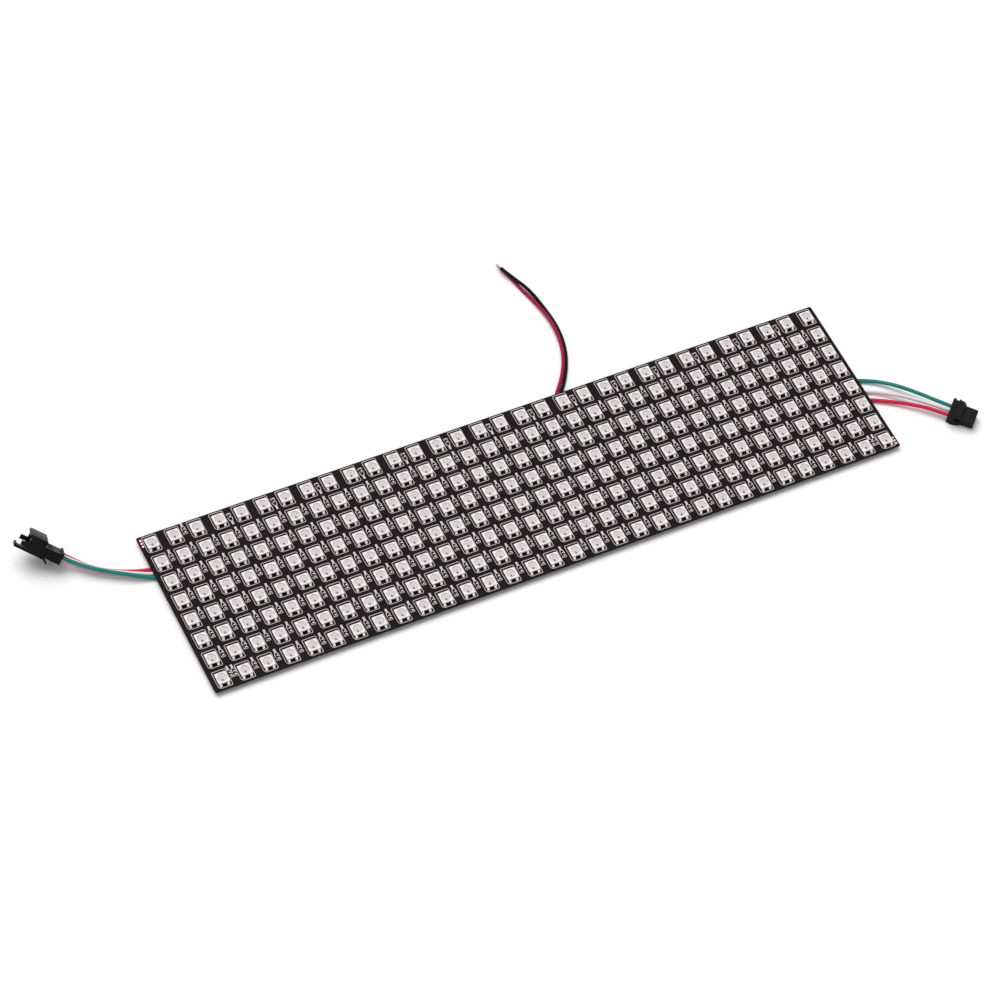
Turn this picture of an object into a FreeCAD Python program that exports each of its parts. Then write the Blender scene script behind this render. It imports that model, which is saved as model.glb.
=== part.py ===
import FreeCAD, Part
import math
import os

from FreeCAD import Placement, Rotation, Vector

# Flexible RGB LED matrix panel lying on a table, in millimetres.
# Origin on the table under the middle of the panel. X runs along the rows from the data-in end
# to the data-out end, Y across the rows to the edge with the power leads, Z up.

# Panel
COLUMNS = 32
ROWS = 8
LED_PITCH = 10.0
EDGE_MARGIN = 5.0
BOARD_THICKNESS = 0.3
BOARD_CORNER_RADIUS = 0.8
BACK_HEIGHT = 2.0

# LED package, a square moulded body with a cut corner that marks its first lead
LED_SIZE = 5.0
LED_HEIGHT = 1.57
LED_CUT_CORNER = 0.7
LED_DRAFT = 0.08

# Chip capacitor, standing in the gap between two LEDs of a row
CHIP_WIDTH = 0.85
CHIP_LENGTH = 1.6
CHIP_HEIGHT = 0.8
CHIP_OFFSET = 0.65
CHIP_PAIR_SPACING = 2.0

# Wires and their soldered joints on the back of the board
WIRE_DIAMETER = 1.7
POWER_WIRE_DIAMETER = 1.5
WIRE_UNDER_BOARD = 1.0
BEND_SHARE = 0.45
VOLUME_TOLERANCE = 0.005
JOINT_LENGTH = 3.4
JOINT_WIDTH = 2.8
JOINT_CREST = 1.3
JOINT_TAIL_SHARE = 0.55
JOINT_BULGE = 0.9
JOINT_INSET = 10.0
DATA_JOINT_SPACING = 5.5
POWER_JOINT_SPACING = 4.0
POWER_JOINT_INSET = 8.0
DATA_IN_JOINT_Y = 21.5
DATA_OUT_JOINT_Y = -6.0
POWER_JOINT_X = 32.5
TINNED_DIAMETER = 0.9
TINNED_LENGTH = 3.0

# Contacts shared by the two wire-to-wire housings
WAYS = 3
CONTACT_PITCH = 2.5
MATING_CLEARANCE = 0.15
SEAT_CLEARANCE = 0.05
WIRE_BORE_CLEARANCE = 0.2
WIRE_BORE_DEPTH = 1.8
LEAD_IN = 3.5

# Socket housing: flared body, nose with the sockets, catch and finger rib on top
NOSE_MARGIN = 1.3
NOSE_HEIGHT = 3.9
NOSE_LENGTH = 5.3
NOSE_CHAMFER = 0.4
NOSE_GROOVE_WIDTH = 0.5
NOSE_GROOVE_DEPTH = 0.7
BODY_LENGTH = 6.5
BODY_BASE = 2.9
BODY_TOP = 2.6
BODY_REAR_HALF_WIDTH = 4.3
BODY_FLARE_HALF_WIDTH = 4.9
BODY_FLARE_AT = 2.6
RIB_LENGTH = 1.4
CATCH_GAP = 1.3
CATCH_LENGTH = 2.6
CATCH_RISE = 1.1
SOCKET_SIZE = 1.6
SOCKET_BORE = 1.0
SOCKET_LENGTH = 5.2
SOCKET_BORE_SHARE = 0.8
SOCKET_RECESS = 0.6

# Pin housing: rear block, open shroud with two guide arms, latch lever moulded on
REAR_LENGTH = 8.4
REAR_WIDTH = 8.8
REAR_BASE = 1.35
REAR_TOP = 3.0
REAR_RIB_LENGTH = 0.9
REAR_RIB_RISE = 0.7
SHROUD_BASE = 1.1
SHROUD_END_CLEARANCE = 0.3
SHROUD_SIDE_WALL = 1.4
SHROUD_FLOOR_MARGIN = 0.3
SHROUD_FLOOR_DROP = 0.9
RAIL_WIDTH = 0.3
SHROUD_FLAT_WALL = 0.9
SHROUD_LIP = 0.9
ARM_LENGTH = 3.0
ARM_HEIGHT = 1.8
ARM_CENTRE = 1.0
ARM_TIP_TAPER = 0.5
WINDOW_LENGTH = 2.6
WINDOW_WIDTH = 1.3
WINDOW_DEPTH = 0.4
WINDOW_FROM_SHROUD = 1.2
LEVER_WIDTH = 4.4
LEVER_THICKNESS = 0.8
LEVER_GAP = 0.6
LEVER_ROOT_LENGTH = 1.6
LEVER_ROOT_AT = 1.6
LEVER_TAIL = 3.9
LEVER_FLARE = 1.4
LEVER_FLARE_LENGTH = 2.2
HOOK_DROP = 0.8
HOOK_LENGTH = 0.6
HOOK_NOSE = 0.4
PIN_SIZE = 0.8
PIN_TIP = 0.6
PIN_TIP_SIZE = 0.4
PIN_SEAT_DEPTH = 2.4
PIN_SHORTFALL = 0.9

# Where the two plugs lie, as the middle of the rear face and the turns in degrees. OUT is the distance beyond
# the end of the board. The stiff wires prop the pin plug on a rear corner with its mouth raised.
DATA_IN_PLUG_OUT = 31.6
DATA_IN_PLUG_Y = 42.2
DATA_IN_PLUG_HEADING = 141.5
DATA_IN_PLUG_PITCH = -22.1
DATA_IN_PLUG_ROLL = -136.1
DATA_OUT_PLUG_OUT = 29.0
DATA_OUT_PLUG_Y = -32.2
DATA_OUT_PLUG_HEADING = -47.0

# Sizes that follow from the others
BOARD_LENGTH = (COLUMNS - 1) * LED_PITCH + 2 * EDGE_MARGIN
BOARD_WIDTH = (ROWS - 1) * LED_PITCH + 2 * EDGE_MARGIN
BOARD_TOP = BACK_HEIGHT + BOARD_THICKNESS
NOSE_WIDTH = (WAYS - 1) * CONTACT_PITCH + 2 * NOSE_MARGIN
CAVITY_WIDTH = NOSE_WIDTH + 2 * MATING_CLEARANCE
CAVITY_HEIGHT = NOSE_HEIGHT + 2 * MATING_CLEARANCE
CAVITY_DEPTH = NOSE_LENGTH + SHROUD_END_CLEARANCE
SHROUD_WIDTH = CAVITY_WIDTH + 2 * SHROUD_SIDE_WALL
CAVITY_FLOOR = -CAVITY_HEIGHT / 2 - SHROUD_FLOOR_DROP
SHROUD_TOP = CAVITY_HEIGHT / 2 + SHROUD_FLAT_WALL
SHROUD_UNDERSIDE = CAVITY_FLOOR - SHROUD_FLAT_WALL
SHROUD_LENGTH = SHROUD_BASE + CAVITY_DEPTH
SHROUD_FRONT = REAR_LENGTH + SHROUD_LENGTH
CATCH_REAR = RIB_LENGTH + CATCH_GAP


def block(x_low, x_high, width, z_low, z_high):
    """A box that is centred on Y."""
    return Part.makeBox(x_high - x_low, width, z_high - z_low, Vector(x_low, -width / 2, z_low))


def polygon(points):
    return Part.makePolygon(points + points[:1])


def plate(points, direction):
    """A flat outline pushed along a direction."""
    return Part.Face(polygon(points)).extrude(direction)


def way_offsets(count, pitch):
    return [(way - (count - 1) / 2) * pitch for way in range(count)]


def save(name, shapes):
    shape = shapes[0] if len(shapes) == 1 else Part.makeCompound(shapes)
    for solid in shape.Solids:
        if not solid.isValid() or solid.Volume <= 0:
            raise ValueError(name + " has a bad solid")
    shape.exportStep("parts/" + name + ".step")


# Board and what is soldered on its top

def flexible_circuit():
    board = Part.makeBox(BOARD_LENGTH, BOARD_WIDTH, BOARD_THICKNESS,
                         Vector(-BOARD_LENGTH / 2, -BOARD_WIDTH / 2, BACK_HEIGHT))
    upright = [edge for edge in board.Edges if abs(edge.tangentAt(edge.FirstParameter).z) > 0.5]
    return board.makeFillet(BOARD_CORNER_RADIUS, upright)


def led_outline(half, z):
    cut = half - LED_CUT_CORNER
    return polygon([Vector(-half, -half, z), Vector(half, -half, z), Vector(half, cut, z),
                    Vector(cut, half, z), Vector(-half, half, z)])


def led_package():
    base = led_outline(LED_SIZE / 2, 0)
    top = led_outline(LED_SIZE / 2 - LED_DRAFT, LED_HEIGHT)
    return Part.makeLoft([base, top], True, True)


def column_x(column):
    return -BOARD_LENGTH / 2 + EDGE_MARGIN + column * LED_PITCH


def row_y(row):
    return -BOARD_WIDTH / 2 + EDGE_MARGIN + row * LED_PITCH


def led_row(row):
    package = led_package()
    return [package.translated(Vector(column_x(column), row_y(row), BOARD_TOP)) for column in range(COLUMNS)]


def chip_places(row):
    """X of each capacitor: the far row has one in every second gap, the near row a pair at each end."""
    places = []
    for column in range(COLUMNS - 1):
        middle = column_x(column) + LED_PITCH / 2
        if row == ROWS - 1 and column % 2 == 0:
            continue
        if row == 0 and column in (0, COLUMNS - 2):
            places += [middle - CHIP_PAIR_SPACING / 2, middle + CHIP_PAIR_SPACING / 2]
        else:
            places.append(middle)
    return places


def capacitor_row(row):
    chip = Part.makeBox(CHIP_WIDTH, CHIP_LENGTH, CHIP_HEIGHT, Vector(-CHIP_WIDTH / 2, -CHIP_LENGTH / 2, 0))
    return [chip.translated(Vector(x, row_y(row) + CHIP_OFFSET, BOARD_TOP)) for x in chip_places(row)]


# Soldered joints on the back, one for each wire

def joint_section(x, share):
    """Outline of the solder at x: wide on the pad, round towards the table."""
    pad = JOINT_WIDTH / 2 * share
    crest = JOINT_CREST / 2 * share
    low = BACK_HEIGHT * (1 - share)
    middle = (BACK_HEIGHT + low) / 2
    return polygon([Vector(x, -pad, BACK_HEIGHT), Vector(x, pad, BACK_HEIGHT), Vector(x, pad * JOINT_BULGE, middle),
                    Vector(x, crest, low), Vector(x, -crest, low), Vector(x, -pad * JOINT_BULGE, middle)])


def solder_joint(x, y, heading):
    """Its upright end is at x, y, where the wire starts and runs off along the heading."""
    body = Part.makeLoft([joint_section(0, 1.0), joint_section(-JOINT_LENGTH, JOINT_TAIL_SHARE)], True, True)
    body.Placement = Placement(Vector(x, y, 0), Rotation(heading, 0, 0))
    return body


# Cords

def cord_path(name, points):
    """Straight runs joined by tangent arcs, each as large as its two runs allow."""
    edges = []
    radii = []
    start = points[0]
    for before, corner, after in zip(points, points[1:], points[2:]):
        arriving = (corner - before).normalize()
        leaving = (after - corner).normalize()
        half_turn = arriving.getAngle(leaving) / 2
        reach = BEND_SHARE * min((corner - before).Length, (after - corner).Length)
        radius = reach / math.tan(half_turn)
        inward = (leaving - arriving).normalize()
        centre = corner + inward * (radius / math.cos(half_turn))
        first = corner - arriving * reach
        last = corner + leaving * reach
        edges.append(Part.LineSegment(start, first).toShape())
        edges.append(Part.Arc(first, centre - inward * radius, last).toShape())
        radii.append(round(radius, 1))
        start = last
    edges.append(Part.LineSegment(start, points[-1]).toShape())
    path = Part.Wire(edges)
    print(name, "length", round(path.Length, 1), "arc radii", radii)
    return path


def cord(name, points, diameter):
    path = cord_path(name, points)
    direction = points[1] - points[0]
    ring = Part.Wire(Part.makeCircle(diameter / 2, points[0], direction))
    tube = path.makePipeShell([ring], True, True)
    expected = math.pi * diameter ** 2 / 4 * path.Length
    if abs(tube.Volume / expected - 1) > VOLUME_TOLERANCE:
        raise ValueError(name + " is not a clean tube")
    return tube


# Socket housing and contacts, in their own frame: X from the wires to the mating face, Z to the catch

def wire_bores(length_of_ways):
    bores = []
    for y in length_of_ways:
        radius = WIRE_DIAMETER / 2 + WIRE_BORE_CLEARANCE
        bores.append(Part.makeCylinder(radius, WIRE_BORE_DEPTH, Vector(0, y, 0), Vector(1, 0, 0)))
    return bores


def socket_housing():
    ways = way_offsets(WAYS, CONTACT_PITCH)
    nose_half = NOSE_WIDTH / 2
    half_height = NOSE_HEIGHT / 2
    end = BODY_LENGTH + NOSE_LENGTH
    crown = BODY_TOP + CATCH_RISE
    side = [(0, -BODY_BASE), (BODY_LENGTH - CATCH_RISE, -BODY_BASE), (BODY_LENGTH, -half_height),
            (BODY_LENGTH, half_height), (CATCH_REAR + CATCH_LENGTH, crown), (CATCH_REAR, crown),
            (CATCH_REAR, BODY_TOP), (RIB_LENGTH, BODY_TOP), (RIB_LENGTH, crown), (0, crown)]
    plan = [(0, -BODY_REAR_HALF_WIDTH), (BODY_FLARE_AT, -BODY_FLARE_HALF_WIDTH), (BODY_LENGTH, -nose_half),
            (BODY_LENGTH, nose_half), (BODY_FLARE_AT, BODY_FLARE_HALF_WIDTH), (0, BODY_REAR_HALF_WIDTH)]
    width = 2 * BODY_FLARE_HALF_WIDTH
    side_block = plate([Vector(x, -width / 2, z) for x, z in side], Vector(0, width, 0))
    plan_block = plate([Vector(x, y, -BODY_BASE) for x, y in plan], Vector(0, 0, BODY_BASE + crown))
    body = side_block.common(plan_block)
    nose = block(BODY_LENGTH, end, NOSE_WIDTH, -half_height, half_height)
    front = [edge for edge in nose.Edges if edge.BoundBox.XMin > end - NOSE_CHAMFER / 2]
    body = body.fuse(nose.makeChamfer(NOSE_CHAMFER, front))

    # Slots in the sides for the guide arms of the pin housing
    slot_half = ARM_HEIGHT / 2 + MATING_CLEARANCE
    slot_length = ARM_LENGTH + SHROUD_END_CLEARANCE
    slot_depth = BODY_FLARE_HALF_WIDTH - nose_half
    for side_y in (nose_half, -BODY_FLARE_HALF_WIDTH):
        corner = Vector(BODY_LENGTH - slot_length, side_y, ARM_CENTRE - slot_half)
        body = body.cut(Part.makeBox(slot_length, slot_depth, 2 * slot_half, corner))

    # Contact cavities from the mating face, wire bores from the rear
    seat = SOCKET_SIZE + 2 * SEAT_CLEARANCE
    depth = SOCKET_LENGTH + SOCKET_RECESS
    for y in ways:
        body = body.cut(block(end - depth, end, seat, -seat / 2, seat / 2).translated(Vector(0, y, 0)))
    body = body.cut(Part.makeCompound(wire_bores(ways)))

    # Grooves between the ways on the underside of the nose
    for y in way_offsets(WAYS - 1, CONTACT_PITCH):
        groove = block(BODY_LENGTH, end, NOSE_GROOVE_WIDTH, -half_height, NOSE_GROOVE_DEPTH - half_height)
        body = body.cut(groove.translated(Vector(0, y, 0)))
    return body.removeSplitter()


def socket_contacts():
    """Box sockets that the pins enter, seated on the floor of their cavities."""
    front = BODY_LENGTH + NOSE_LENGTH - SOCKET_RECESS
    contacts = []
    for y in way_offsets(WAYS, CONTACT_PITCH):
        box = block(front - SOCKET_LENGTH, front, SOCKET_SIZE, -SOCKET_SIZE / 2, SOCKET_SIZE / 2)
        bore = block(front - SOCKET_LENGTH * SOCKET_BORE_SHARE, front, SOCKET_BORE, -SOCKET_BORE / 2, SOCKET_BORE / 2)
        contacts.append(box.cut(bore).translated(Vector(0, y, 0)))
    return contacts


# Pin housing and pins, in their own frame: X from the wires to the mating face, Z to the latch lever

def latch_lever():
    """One profile across the lever: flared tail, root on the shroud, hook ahead of the shroud."""
    under = SHROUD_TOP + LEVER_GAP
    over = under + LEVER_THICKNESS
    tail = REAR_LENGTH - LEVER_TAIL
    root = REAR_LENGTH + LEVER_ROOT_AT
    hook = SHROUD_FRONT + BODY_LENGTH - CATCH_REAR + MATING_CLEARANCE
    profile = [(tail, under + LEVER_FLARE), (tail + LEVER_FLARE_LENGTH, under),
               (root - LEVER_ROOT_LENGTH / 2, under), (root - LEVER_ROOT_LENGTH / 2, under - LEVER_GAP),
               (root + LEVER_ROOT_LENGTH / 2, under - LEVER_GAP), (root + LEVER_ROOT_LENGTH / 2, under),
               (hook, under), (hook, under - HOOK_DROP), (hook + HOOK_LENGTH, under - HOOK_DROP),
               (hook + HOOK_LENGTH + HOOK_NOSE, under), (hook + HOOK_LENGTH, over),
               (tail + LEVER_FLARE_LENGTH, over), (tail, over + LEVER_FLARE)]
    return plate([Vector(x, -LEVER_WIDTH / 2, z) for x, z in profile], Vector(0, LEVER_WIDTH, 0))


def guide_arm(side):
    """Arm ahead of a side wall, tapered at its tip."""
    inner = side * CAVITY_WIDTH / 2
    outer = side * SHROUD_WIDTH / 2
    tip = SHROUD_FRONT + ARM_LENGTH
    low = ARM_CENTRE - ARM_HEIGHT / 2
    outline = [Vector(SHROUD_FRONT, inner, low), Vector(tip, inner, low),
               Vector(tip, outer - side * ARM_TIP_TAPER, low),
               Vector(tip - 2 * ARM_TIP_TAPER, outer, low), Vector(SHROUD_FRONT, outer, low)]
    return plate(outline, Vector(0, 0, ARM_HEIGHT))


def pin_housing():
    ways = way_offsets(WAYS, CONTACT_PITCH)
    floor = SHROUD_UNDERSIDE
    rear = block(0, REAR_LENGTH, REAR_WIDTH, -REAR_BASE, REAR_TOP)
    rib = block(0, REAR_RIB_LENGTH, REAR_WIDTH, -REAR_BASE - REAR_RIB_RISE, -REAR_BASE)
    shroud = block(REAR_LENGTH, SHROUD_FRONT, SHROUD_WIDTH, floor, SHROUD_TOP)
    shroud = shroud.cut(block(REAR_LENGTH + SHROUD_BASE, SHROUD_FRONT, CAVITY_WIDTH,
                              CAVITY_FLOOR, CAVITY_HEIGHT / 2))
    half = SHROUD_WIDTH / 2 + SHROUD_FLOOR_MARGIN
    outline = [Vector(REAR_LENGTH, -half, floor), Vector(SHROUD_FRONT, -half, floor),
               Vector(SHROUD_FRONT + SHROUD_LIP, SHROUD_LIP - half, floor),
               Vector(SHROUD_FRONT + SHROUD_LIP, half - SHROUD_LIP, floor),
               Vector(SHROUD_FRONT, half, floor), Vector(REAR_LENGTH, half, floor)]
    floor_plate = plate(outline, Vector(0, 0, SHROUD_FLAT_WALL))
    rail_top = NOSE_GROOVE_DEPTH - NOSE_HEIGHT / 2 - MATING_CLEARANCE
    rails = [block(REAR_LENGTH, SHROUD_FRONT, RAIL_WIDTH, floor, rail_top).translated(Vector(0, y, 0))
             for y in way_offsets(WAYS - 1, CONTACT_PITCH)]
    body = rear.multiFuse([rib, shroud, floor_plate, latch_lever(), guide_arm(1), guide_arm(-1)] + rails)

    # Holes that hold the pins, windows over their barbs, wire bores from the rear
    seat = PIN_SIZE + 2 * SEAT_CLEARANCE
    pocket_end = REAR_LENGTH - WINDOW_FROM_SHROUD
    for y in ways:
        hole = block(REAR_LENGTH + SHROUD_BASE - PIN_SEAT_DEPTH, REAR_LENGTH + SHROUD_BASE,
                     seat, -seat / 2, seat / 2)
        window = block(pocket_end - WINDOW_LENGTH, pocket_end, WINDOW_WIDTH,
                       -REAR_BASE, -REAR_BASE + WINDOW_DEPTH)
        body = body.cut(hole.fuse(window).translated(Vector(0, y, 0)))
    body = body.cut(Part.makeCompound(wire_bores(ways)))
    return body.removeSplitter()


def contact_pins():
    """Square pins with tapered tips, short of the mouth of the shroud."""
    start = REAR_LENGTH + SHROUD_BASE - PIN_SEAT_DEPTH
    tip = SHROUD_FRONT - PIN_SHORTFALL
    pins = []
    for y in way_offsets(WAYS, CONTACT_PITCH):
        shank = block(start, tip - PIN_TIP, PIN_SIZE, -PIN_SIZE / 2, PIN_SIZE / 2)
        rings = []
        for x, half in ((tip - PIN_TIP, PIN_SIZE / 2), (tip, PIN_TIP_SIZE / 2)):
            rings.append(polygon([Vector(x, -half, -half), Vector(x, half, -half),
                                  Vector(x, half, half), Vector(x, -half, half)]))
        pins.append(shank.fuse(Part.makeLoft(rings, True, True)).translated(Vector(0, y, 0)))
    return pins


def laid_on_table(housing, x, y, heading, pitch, roll):
    """Placement of a plug: its turns, and the height at which its lowest corner meets the table."""
    place = Placement(Vector(x, y, 0), Rotation(heading, pitch, roll))
    turned = housing.copy()
    turned.Placement = place
    place.Base = Vector(x, y, -turned.BoundBox.ZMin)
    return place


def placed(shapes, place):
    result = []
    for shape in shapes:
        moved = shape.copy()
        moved.Placement = place.multiply(moved.Placement)
        result.append(moved)
    return result


def plug_entry(place, way):
    """The last two points of a wire: straight behind its bore, and on the floor of the bore."""
    y = way_offsets(WAYS, CONTACT_PITCH)[way]
    return [place.multVec(Vector(-LEAD_IN, y, 0)), place.multVec(Vector(WIRE_BORE_DEPTH, y, 0))]


def heading_of(points):
    """Compass turn of the first run of a route, in degrees from X."""
    run = points[1] - points[0]
    return math.degrees(math.atan2(run.y, run.x))


def pigtail(name, colours, side, joint_rows, routes, place):
    """Three wires from their joints under one end of the board, along their routes and into their plug.

    The points of a route are given as the distance beyond the end of the board, Y and Z.
    """
    board_end = BOARD_LENGTH / 2
    joint_x = side * (board_end - JOINT_INSET)
    joints = []
    for way, colour in enumerate(colours):
        points = [Vector(joint_x, joint_rows[way], WIRE_UNDER_BOARD)]
        points += [Vector(side * (board_end + out), y, z) for out, y, z in routes[colour]]
        points += plug_entry(place, way)
        joints.append(solder_joint(joint_x, joint_rows[way], heading_of(points)))
        label = name + "_wire_" + colour
        save(label, [cord(label, points, WIRE_DIAMETER)])
    save(name + "_solder", joints)


os.makedirs("parts", exist_ok=True)

save("flexible_circuit", [flexible_circuit()])
for row in range(ROWS):
    save("led_row_%d" % (row + 1), led_row(row))
    save("capacitor_row_%d" % (row + 1), capacitor_row(row))

# Data-in pigtail at the left end, its three wires stacked above each other on the way to the propped plug
pin_body = pin_housing()
data_in_place = laid_on_table(pin_body, -BOARD_LENGTH / 2 - DATA_IN_PLUG_OUT, DATA_IN_PLUG_Y,
                              DATA_IN_PLUG_HEADING, DATA_IN_PLUG_PITCH, DATA_IN_PLUG_ROLL)
save("data_in_housing", placed([pin_body], data_in_place))
save("data_in_pins", placed(contact_pins(), data_in_place))
data_in_rows = [DATA_IN_JOINT_Y + y for y in way_offsets(WAYS, DATA_JOINT_SPACING)]
data_in_routes = {
    "green": [(-2.5, 19.4, 1.0), (0.6, 20.5, 1.0), (4.4, 22.1, 2.0), (8.9, 24.1, 3.0), (15.3, 27.7, 3.65),
              (21.5, 31.7, 4.05), (25.9, 35.2, 4.5)],
    "white": [(-2.5, 22.1, 1.0), (0.6, 22.5, 1.0), (4.2, 23.8, 1.4), (8.5, 25.5, 1.9), (14.7, 28.7, 2.25),
              (20.9, 32.6, 2.6), (25.3, 36.3, 3.05)],
    "red": [(-2.5, 24.9, 1.0), (0.6, 24.6, 1.0), (4.1, 25.6, 0.9), (8.2, 27.0, 0.9), (14.1, 29.6, 0.9),
            (20.3, 33.4, 1.1), (24.7, 37.4, 1.6)],
}
pigtail("data_in", ("green", "white", "red"), -1, data_in_rows, data_in_routes, data_in_place)

# Data-out pigtail at the right end, its plug flat on the table
socket_body = socket_housing()
data_out_place = laid_on_table(socket_body, BOARD_LENGTH / 2 + DATA_OUT_PLUG_OUT, DATA_OUT_PLUG_Y,
                               DATA_OUT_PLUG_HEADING, 0, 0)
save("data_out_housing", placed([socket_body], data_out_place))
save("data_out_contacts", placed(socket_contacts(), data_out_place))
data_out_rows = [DATA_OUT_JOINT_Y + y for y in way_offsets(WAYS, DATA_JOINT_SPACING)]
data_out_routes = {
    "red": [(-2.0, -12.0, 1.0), (5.9, -16.2, 1.2), (13.0, -20.9, 1.9), (19.5, -26.2, 2.7)],
    "white": [(-2.0, -7.2, 1.0), (6.2, -11.4, 1.2), (13.7, -17.2, 2.3), (20.2, -23.4, 2.9)],
    "green": [(-2.0, -1.2, 1.0), (6.0, -4.8, 1.3), (13.4, -10.9, 2.6), (20.7, -19.0, 3.1)],
}
pigtail("data_out", ("red", "white", "green"), 1, data_out_rows, data_out_routes, data_out_place)

# Power leads at the far edge, the ends stripped and tinned. The red one rides on the black one's side until
# the black one crosses over it. Their routes are given as X, the distance beyond the far edge, and Z.
power_x = [POWER_JOINT_X + x for x in way_offsets(2, POWER_JOINT_SPACING)]
power_routes = {
    "red": [(34.5, 0.0, 1.0), (37.0, 2.9, 1.05), (40.7, 7.1, 1.5), (44.3, 12.4, 1.7), (47.1, 18.1, 1.7),
            (49.1, 24.5, 1.7), (50.1, 31.5, 1.7), (50.1, 38.5, 1.7), (49.1, 45.2, 1.5), (47.9, 51.0, 0.9),
            (46.5, 56.3, 0.8), (45.4, 61.6, 0.8), (44.2, 66.5, 0.8), (43.2, 70.0, 0.8)],
    "black": [(36.6, 0.0, 1.0), (38.8, 2.3, 1.0), (42.5, 6.9, 0.8), (46.1, 12.7, 0.8), (48.8, 18.4, 0.8),
              (50.7, 24.8, 0.8), (51.7, 31.5, 0.8), (51.7, 38.3, 0.8), (50.9, 45.2, 0.9), (49.8, 51.9, 1.3),
              (47.7, 57.2, 2.2), (45.7, 61.3, 2.4), (43.9, 65.7, 2.4), (42.6, 69.2, 2.4)],
}
power_joints = []
for x, colour in zip(power_x, ("red", "black")):
    start = Vector(x, BOARD_WIDTH / 2 - POWER_JOINT_INSET, WIRE_UNDER_BOARD)
    route = [start] + [Vector(x, BOARD_WIDTH / 2 + out, z) for x, out, z in power_routes[colour]]
    power_joints.append(solder_joint(start.x, start.y, heading_of(route)))
    label = "power_wire_" + colour
    save(label, [cord(label, route, POWER_WIRE_DIAMETER)])
    along = (route[-1] - route[-2]).normalize()
    save("power_tip_" + colour, [Part.makeCylinder(TINNED_DIAMETER / 2, TINNED_LENGTH, route[-1], along)])
save("power_solder", power_joints)
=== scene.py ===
import math

import bmesh
import bpy
from mathutils import Euler, Matrix, Vector


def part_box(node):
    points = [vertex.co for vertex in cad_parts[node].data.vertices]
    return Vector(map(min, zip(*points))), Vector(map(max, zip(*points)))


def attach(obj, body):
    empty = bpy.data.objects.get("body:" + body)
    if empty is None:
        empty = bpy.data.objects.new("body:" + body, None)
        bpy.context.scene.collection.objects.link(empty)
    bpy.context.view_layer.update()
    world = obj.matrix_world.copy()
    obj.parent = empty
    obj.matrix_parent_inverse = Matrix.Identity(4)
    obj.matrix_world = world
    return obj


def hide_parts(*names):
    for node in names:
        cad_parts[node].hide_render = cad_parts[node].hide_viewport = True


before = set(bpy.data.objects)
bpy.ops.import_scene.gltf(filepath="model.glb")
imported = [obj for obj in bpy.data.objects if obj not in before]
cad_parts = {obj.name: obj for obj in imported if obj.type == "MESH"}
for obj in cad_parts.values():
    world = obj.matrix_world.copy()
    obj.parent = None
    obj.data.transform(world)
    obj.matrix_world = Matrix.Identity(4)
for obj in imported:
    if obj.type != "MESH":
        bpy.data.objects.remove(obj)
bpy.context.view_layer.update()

scene = bpy.context.scene
MM = 0.001


# Camera
# A long lens looks down at the front left end of the panel, a little rolled to the left. Its place, aim and
# roll were worked out from the rows of lights.

CAMERA_PLACE = Vector((-0.54221, -0.73678, 1.30699))
CAMERA_AIM = Vector((0.33340, 0.46370, -0.82087))
CAMERA_ROLL = math.radians(11.13)
CAMERA_LENS = 137.27
CAMERA_REACH = 20.0

camera = bpy.data.objects.new("camera", bpy.data.cameras.new("camera"))
camera.data.lens = CAMERA_LENS
camera.data.clip_end = CAMERA_REACH
aim = CAMERA_AIM.to_track_quat("-Z", "Y").to_matrix().to_4x4()
camera.matrix_world = Matrix.Translation(CAMERA_PLACE) @ aim @ Matrix.Rotation(CAMERA_ROLL, 4, "Z")
scene.collection.objects.link(camera)
scene.camera = camera


# Wires of the data-in pigtail
# Three stranded wires in soft extruded PVC, soldered under the left end of the board and crimped into the
# pins of a small nylon plug. They are stiff enough to prop the plug on one corner, and on the way there
# they lie stacked above each other.

def linear(colour):
    """The linear values of an sRGB colour written in hex."""
    values = [int(colour[place:place + 2], 16) / 255 for place in (0, 2, 4)]
    return [v / 12.92 if v <= 0.04045 else ((v + 0.055) / 1.055) ** 2.4 for v in values] + [1.0]


def add(tree, kind, inputs=None, **settings):
    """A new node with its settings, and its inputs linked or set."""
    node = tree.nodes.new(kind)
    for name, value in settings.items():
        setattr(node, name, value)
    for name, value in (inputs or {}).items():
        if isinstance(value, bpy.types.NodeSocket):
            tree.links.new(value, node.inputs[name])
        else:
            node.inputs[name].default_value = value
    return node


def new_material(name, **constants):
    """A material with one principled shader that has these constants on its own sockets."""
    material = bpy.data.materials.new(name)
    material.use_nodes = True
    shader = material.node_tree.nodes["Principled BSDF"]
    for socket, value in constants.items():
        shader.inputs[socket.replace("_", " ")].default_value = value
    return material, material.node_tree, shader


def mottle(tree, shader, size, dark, light):
    """Colour that drifts between two shades over spots of the given size."""
    place = add(tree, "ShaderNodeTexCoord").outputs["Object"]
    noise = add(tree, "ShaderNodeTexNoise", {"Vector": place, "Scale": 1 / size, "Detail": 3.0})
    shades = add(tree, "ShaderNodeMix", {"Factor": noise.outputs["Fac"]}, data_type="RGBA")
    shades.inputs["A"].default_value = linear(dark)
    shades.inputs["B"].default_value = linear(light)
    tree.links.new(shades.outputs["Result"], shader.inputs["Base Color"])


def roughen(tree, shader, size, depth):
    """Fine bumps of the given size and depth, both in metres."""
    place = add(tree, "ShaderNodeTexCoord").outputs["Object"]
    noise = add(tree, "ShaderNodeTexNoise", {"Vector": place, "Scale": 1 / size, "Detail": 2.0})
    bump = add(tree, "ShaderNodeBump", {"Height": noise.outputs["Fac"], "Distance": depth, "Strength": 1.0})
    tree.links.new(bump.outputs["Normal"], shader.inputs["Normal"])


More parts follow.
